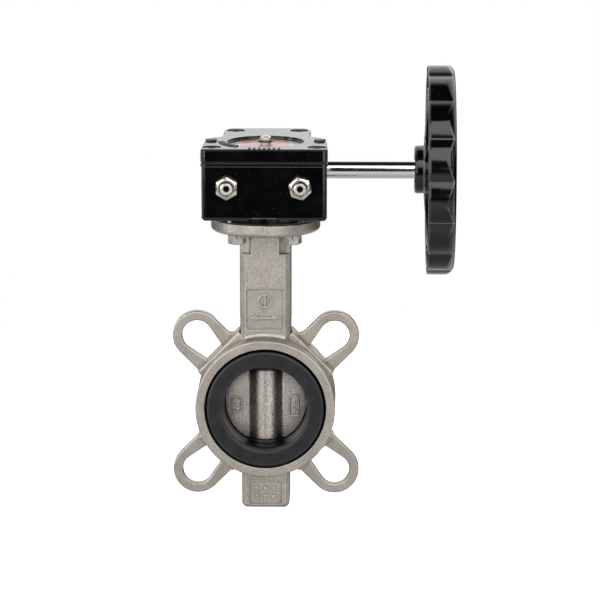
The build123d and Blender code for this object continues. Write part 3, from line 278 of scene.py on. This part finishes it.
def rubber(name, tint):
    """Matt moulded rubber with a fine grain and a little bloom, a highlight painted on its rounded
    corners, and painted shade in its hollows and deep in the bore.
    """
    material, tree, shader = new_shader(name, IOR=1.5, Specular_IOR_Level=0.36)
    grain = noise(tree, size_mm=0.5, detail=3)
    bloom = noise(tree, size_mm=7, detail=4, rough=0.6)
    dust = specks(tree, spacing_mm=2.2, share=0.25)
    edge_highlight_and_wear, rounded = corners(tree, radius_mm=1.8)
    bloomed = [1.35 * c for c in tint]
    highlight_tint = [6 * c for c in tint]
    colour = mix_colour(tree, remap(tree, bloom, 0.35, 0.7), tint, bloomed)
    # Painted highlight on the rounded corners, such as the bore's lower edge
    colour = mix_colour(tree, multiply(tree, edge_highlight_and_wear, 0.9), colour, highlight_tint)
    colour = mix_colour(tree, multiply(tree, dust, 0.35), colour, RUBBER_DUST)
    # Painted shade in hollows within 2.5 mm, and over the inner bore near the disc
    colour = mix_colour(tree, crevices(tree, depth_mm=2.5, shut=0.35), colour, RUBBER_HOLLOW_SHADE)
    bore_shade = multiply(tree, crevices(tree, depth_mm=16, shut=0.5), 0.95)
    colour = mix_colour(tree, bore_shade, colour, RUBBER_HOLLOW_SHADE)
    drive(tree, shader, Base_Color=colour, Normal=bump(tree, grain, 0.02, rounded),
          Roughness=remap(tree, bloom, 0.3, 0.7, 0.30, 0.42))
    return material


def plated(name, pale, dark, roughness, hollow_mm=1.2, socket_mm=0.0):
    """Zinc plating: faint clouds, a highlight painted at the corners, and painted shade in hollows
    and in stop screws' sockets.
    """
    material, tree, shader = new_shader(name, Metallic=1.0)
    cloud = noise(tree, size_mm=3.5, detail=4, rough=0.6)
    scuffs = noise(tree, size_mm=0.8, detail=2, rough=0.6)
    edge_highlight_and_wear, rounded = corners(tree, radius_mm=0.4)
    colour = mix_colour(tree, remap(tree, cloud, 0.35, 0.65), dark, pale)
    # Painted highlight at the corners
    colour = mix_colour(tree, multiply(tree, edge_highlight_and_wear, 0.9), colour, ZINC_EDGE_HIGHLIGHT)
    # Painted shade in hollows within hollow_mm
    hollow_shade = multiply(tree, crevices(tree, hollow_mm), 0.97)
    colour = mix_colour(tree, hollow_shade, colour, PLATING_HOLLOW_SHADE)
    # Painted shade in the stop screws' sockets
    if socket_mm:
        colour = mix_colour(tree, near_screws(tree, socket_mm), colour, SOCKET_SHADE)
    drive(tree, shader, Base_Color=colour, Normal=bump(tree, scuffs, 0.008, rounded),
          Roughness=remap(tree, scuffs, 0.3, 0.7, roughness * 0.85, roughness * 1.15))
    return material


def soft_metal(name, pale, dark, roughness):
    """Bronze, copper or machined iron with tarnish and tool marks."""
    material, tree, shader = new_shader(name, Metallic=1.0)
    tarnish = noise(tree, size_mm=5, detail=5, rough=0.65)
    marks = noise(tree, size_mm=0.5, detail=3, rough=0.6)
    edge_highlight_and_wear, rounded = corners(tree, radius_mm=0.3)
    rubbed_and_highlit = [min(1.0, 1.3 * c) for c in pale]
    colour = mix_colour(tree, remap(tree, tarnish, 0.35, 0.65), dark, pale)
    # Corners lightened: partly wear, partly a painted highlight
    colour = mix_colour(tree, multiply(tree, edge_highlight_and_wear, 0.4), colour, rubbed_and_highlit)
    drive(tree, shader, Base_Color=colour, Normal=bump(tree, marks, 0.015, rounded),
          Roughness=remap(tree, tarnish, 0.3, 0.7, roughness * 0.75, roughness * 1.25))
    return material


def matt_sheet(name, pale, dark, grain_mm, roughness):
    """Gasket sheet or turned plastic: fibrous or fine grain, no gloss."""
    material, tree, shader = new_shader(name, IOR=1.4)
    fibre = noise(tree, grain_mm, detail=4, stretch=(1, 2, 2), rough=0.65)
    edge_highlight_and_wear, rounded = corners(tree, radius_mm=0.2)
    rubbed_and_highlit = [min(1.0, 1.4 * c) for c in pale]
    colour = mix_colour(tree, remap(tree, fibre, 0.3, 0.7), dark, pale)
    # Corners lightened: partly wear, partly a painted highlight
    colour = mix_colour(tree, multiply(tree, edge_highlight_and_wear, 0.3), colour, rubbed_and_highlit)
    drive(tree, shader, Base_Color=colour, Normal=bump(tree, fibre, 0.02, rounded),
          Roughness=remap(tree, fibre, 0.3, 0.7, roughness - 0.08, roughness + 0.08))
    return material


def printed(name, ground, faded, metallic):
    """Glossy printed ink on the dial plate, a little faded and scratched."""
    material, tree, shader = new_shader(
        name, Metallic=metallic, Coat_Weight=0.4, Coat_Roughness=0.08)
    fade = noise(tree, size_mm=6, detail=4)
    scratches = noise(tree, size_mm=4, detail=4, stretch=(1, 9, 9), rough=0.75)
    colour = mix_colour(tree, remap(tree, fade, 0.35, 0.7), ground, faded)
    drive(tree, shader, Base_Color=colour, Normal=bump(tree, scratches, 0.006),
          Roughness=remap(tree, scratches, 0.3, 0.7, 0.25, 0.45))
    return material


# One material for each slot of the record; of two colours, the paler comes first
MATERIALS = {
    "body_steel": cast_steel(
        "blasted_stainless", (0.56, 0.52, 0.46), (0.29, 0.268, 0.237),
        grain_mm=0.8, roughness=0.46, bump_mm=0.05, shade_mm=3.5, shade=0.5, shut=0.32),
    "disc_steel": cast_steel(
        "coarse_stainless", (0.86, 0.80, 0.73), (0.40, 0.37, 0.34),
        grain_mm=1.0, roughness=0.33, bump_mm=0.06, shade_mm=9.0, shade=0.92, shut=0.4),
    "stem_steel": machined_steel(
        "turned_stainless", (0.66, 0.65, 0.63), (0.48, 0.47, 0.45),
        roughness=0.25, stretch=(1, 1, 60)),
    "seat_rubber": rubber("moulded_rubber", (0.0105, 0.0107, 0.0120)),
    "seal_rubber": rubber("seal_rubber", (0.010, 0.010, 0.010)),
    "bearing_plastic": matt_sheet(
        "turned_ptfe", (0.84, 0.83, 0.79), (0.76, 0.75, 0.70), grain_mm=0.8, roughness=0.45),
    "bronze": soft_metal(
        "bearing_bronze", (0.66, 0.45, 0.22), (0.48, 0.31, 0.14), roughness=0.34),
    "copper_washer": soft_metal(
        "soft_copper", (0.76, 0.42, 0.28), (0.58, 0.30, 0.19), roughness=0.32),
    "spring_steel": machined_steel(
        "phosphated_steel", (0.26, 0.25, 0.24), (0.15, 0.15, 0.15),
        roughness=0.35, stretch=(8, 8, 8)),
    "gasket_sheet": matt_sheet(
        "fibre_gasket", (0.060, 0.060, 0.055), (0.030, 0.030, 0.028),
        grain_mm=0.9, roughness=0.8),
    "plated_steel": plated(
        "bright_plating", (0.86, 0.83, 0.77), (0.70, 0.67, 0.61), roughness=0.4),
    "black_screw": enamel("black_oxide", roughness=0.3, ripple_mm=1.2, ripple_depth_mm=0.01),
    "box_paint": enamel(
        "casting_enamel", roughness=0.10, ripple_mm=2.6, ripple_depth_mm=0.010, edge_mm=0.6),
    # The wheel's rounded corners carry a brighter painted highlight
    "wheel_paint": enamel(
        "wheel_enamel", roughness=0.07, ripple_mm=4.0, ripple_depth_mm=0.010,
        edge_mm=1.5, edge=0.4),
    "gear_iron": soft_metal(
        "machined_iron", (0.30, 0.30, 0.29), (0.18, 0.18, 0.17), roughness=0.42),
    "gear_steel": machined_steel(
        "machined_steel", (0.55, 0.55, 0.54), (0.40, 0.40, 0.40),
        roughness=0.28, stretch=(30, 1, 1)),
    "shaft_chrome": machined_steel(
        "drawn_bar", (0.84, 0.85, 0.86), (0.66, 0.67, 0.69),
        roughness=0.085, stretch=(1, 60, 60)),
    "dial_plate": printed(
        "dial_aluminium", (0.58, 0.58, 0.57), (0.50, 0.50, 0.49), metallic=0.4),
    "dial_red": printed("dial_red", (0.46, 0.17, 0.15), (0.52, 0.24, 0.21), metallic=0.0),
}
# Parts that are duller, brighter or darker than the rest of their slot, by node; the darkness of
# the flange bolts, their washers and the indicator washer is painted shade
VARIANTS = {
    # Black washer: painted shade under the indicator screw's head
    "indicator_washer": enamel(
        "shaded_dark_washer", roughness=0.3, ripple_mm=1.2, ripple_depth_mm=0.01),
    "indicator_spacer": plated(
        "spacer_plating", (0.95, 0.91, 0.83), (0.80, 0.76, 0.68), roughness=0.5),
    # Darker and duller plating: painted shade on the bolts and washers under the flange
    "mounting_bolts": plated(
        "shaded_dull_plating", (0.50, 0.48, 0.45), (0.36, 0.34, 0.32), roughness=0.5),
    "stop_lock_nuts": plated(
        "nut_plating", (0.80, 0.75, 0.66), (0.52, 0.48, 0.42), roughness=0.2, hollow_mm=2.4),
    "stop_screws": plated(
        "screw_plating", (0.95, 0.91, 0.83), (0.78, 0.73, 0.64), roughness=0.3, socket_mm=2.1),
}
VARIANTS["spring_washers"] = VARIANTS["mounting_bolts"]

for subpart in frame["record"]["subparts"]:
    node = nodes[subpart["node"]]
    material = VARIANTS.get(subpart["node"], MATERIALS[subpart["material_slot"]])
    if not node.material_slots:
        node.data.materials.append(material)
    for slot in node.material_slots:
        slot.material = material


# ---------------------------------------------------------------- the seat's sealing lip
LIP_TIP_R = 26.03 * MM
LIP_ROOT_R = 26.6 * MM
LIP_BACK = 0.6 * MM  # how far the lip reaches into the liner behind its root
LIP_HALF = 3.2 * MM
LIP_STEPS = 6  # from the crest to either side
# Darker than the seat's rubber: painted shade on the lip where it meets the disc
LIP_SHADE_TINT = (0.003, 0.003, 0.0034)


def ring_mesh(name, profile, steps=256):
    """A ring round the flow bore from a closed outline of (radius, y) points."""
    count = len(profile)
    points = [(radius * cos(2 * pi * k / steps), y, radius * sin(2 * pi * k / steps))
              for k in range(steps) for radius, y in profile]
    faces = [(k * count + i, k * count + (i + 1) % count,
              (k + 1) % steps * count + (i + 1) % count, (k + 1) % steps * count + i)
             for k in range(steps) for i in range(count)]
    mesh = bpy.data.meshes.new(name)
    mesh.from_pydata(points, [], faces)
    mesh.shade_smooth()
    return add_object(name, mesh)


# A full ring without holes for the stems, which pass through it at the top and the bottom
crest = [(LIP_TIP_R + (LIP_ROOT_R - LIP_TIP_R) * (y / LIP_STEPS) ** 2, LIP_HALF * y / LIP_STEPS)
         for y in range(-LIP_STEPS, LIP_STEPS + 1)]
seat_lip = ring_mesh("seat_lip", crest + [(LIP_ROOT_R + LIP_BACK, 0)])
# The lip's rubber is the seat's, darkened as painted shade
seat_lip.data.materials.append(rubber("shaded_lip_rubber", LIP_SHADE_TINT))
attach(seat_lip, "valve")


# ---------------------------------------------------------------- floor
FLOOR_RADIUS = 0.6
FLOOR_POINTS = 96
FLOOR_GAP = 0.0005  # below the lowest part

low, high = cad_box
middle = (low + high) / 2

floor_mesh = bpy.data.meshes.new("floor")
floor_mesh.from_pydata(
    [(middle.x + FLOOR_RADIUS * cos(2 * pi * k / FLOOR_POINTS),
      FLOOR_RADIUS * sin(2 * pi * k / FLOOR_POINTS), low.z - FLOOR_GAP)
     for k in range(FLOOR_POINTS)], [], [range(FLOOR_POINTS)])
floor = add_object("floor", floor_mesh)
floor_mesh.materials.append(new_shader(
    "pale_floor", Base_Color=PALE_FLOOR, Emission_Color=WHITE, Emission_Strength=1.0)[0])
# The floor is only seen; the world below gives the light that it would send up
floor.visible_diffuse = False
floor.visible_glossy = False
floor.visible_shadow = False


# ---------------------------------------------------------------- light
# Name, azimuth and elevation in degrees, distance, width, height, and luminance.
# The two main boxes leave a dark gap at the camera, which the disc's hub and the gearbox reflect.
SOFTBOXES = (
    ("right_main", 27.5, 33, 1.9, 1.6, 1.69, 2.7),
    ("right_foot", 27.5, -1.5, 1.9, 1.6, 0.40, 2.2),
    ("left_main", -32.5, 19.5, 1.9, 1.7, 1.85, 2.8),
    ("left_strip", -80, 12, 1.9, 0.24, 1.6, 9.0),
    ("right_strip", 74, 12, 1.9, 0.06, 1.4, 9.0),
    ("low_right", 95, -14, 1.9, 1.0, 0.6, 0.9),
    ("low_card", 24, -32, 0.9, 0.30, 0.16, 2.0),
)


def direction(azimuth, elevation):
    """A unit vector from the object; azimuth 0 is towards the camera and grows to the right."""
    a, e = radians(azimuth), radians(elevation)
    return Vector((sin(a) * cos(e), -cos(a) * cos(e), sin(e)))


def softbox(name, azimuth, elevation, distance, width, height, luminance):
    """A rectangular softbox that faces the object and isn't seen by the camera."""
    light = bpy.data.lights.new(name, "AREA")
    light.shape = "RECTANGLE"
    light.size = width
    light.size_y = height
    light.energy = luminance * pi * width * height
    lamp = add_object(name, light)
    towards = direction(azimuth, elevation)
    lamp.location = middle + towards * distance
    lamp.rotation_euler = towards.to_track_quat("Z", "Y").to_euler()
    lamp.visible_camera = False


for box in SOFTBOXES:
    softbox(*box)


# ---------------------------------------------------------------- surroundings
# The world's brightness by direction. Edges are the Y or Z of a unit vector, where the brightness
# starts to change and where it ends.
WALL_STRENGTH = 1.25  # the pale wall behind the object
WALL_SIDE_Y = (0.1, 0.6)
WALL_FOOT_Z = (-0.02, 0.10)
WALL_TOP_Z = (0.96, 0.85)
GROUND_EDGE_Z = (-0.24, -0.42)
GROUND_LEVELS = (0.015, 0.8)
NADIR_EDGE_Z = (-0.5, -1.0)  # the ground dims again straight below the object
NADIR_LEVELS = (1.0, 0.55)

world = bpy.data.worlds.new("studio")
bpy.context.scene.world = world
world.use_nodes = True
tree = world.node_tree
sight = add_node(tree, "ShaderNodeTexCoord").outputs["Generated"]
heading = add_node(tree, "ShaderNodeSeparateXYZ", {0: sight}).outputs
behind = remap(tree, heading["Y"], *WALL_SIDE_Y)
risen = multiply(
    tree, remap(tree, heading["Z"], *WALL_FOOT_Z), remap(tree, heading["Z"], *WALL_TOP_Z))
wall = multiply(tree, multiply(tree, behind, risen), WALL_STRENGTH)
ground = multiply(tree, remap(tree, heading["Z"], *GROUND_EDGE_Z, *GROUND_LEVELS),
                  remap(tree, heading["Z"], *NADIR_EDGE_Z, *NADIR_LEVELS))
surroundings = add_node(
    tree, "ShaderNodeBackground", {"Color": WHITE, "Strength": add(tree, wall, ground)})
seen = add_node(tree, "ShaderNodeBackground", {"Color": WHITE, "Strength": 1.0})
chooser = add_node(tree, "ShaderNodeMixShader", {
    0: add_node(tree, "ShaderNodeLightPath").outputs["Is Camera Ray"],
    1: surroundings.outputs[0], 2: seen.outputs[0]})
tree.links.new(chooser.outputs[0], tree.nodes["World Output"].inputs["Surface"])
bpy.context.scene.view_settings.view_transform = "Standard"


# ---------------------------------------------------------------- camera
LENS_MM = 190.28
SENSOR_MM = 36
CAMERA_PLACE = (0.059185, -1.994139, 0.471602)
CAMERA_DOWN = 11.468  # degrees below level
CAMERA_LEFT = 1.071  # degrees left of the +Y axis

camera_data = bpy.data.cameras.new("camera")
camera_data.lens = LENS_MM
camera_data.sensor_width = SENSOR_MM
camera = add_object("camera", camera_data)
camera.location = CAMERA_PLACE
camera.rotation_euler = (radians(90 - CAMERA_DOWN), 0, radians(CAMERA_LEFT))
bpy.context.scene.camera = camera
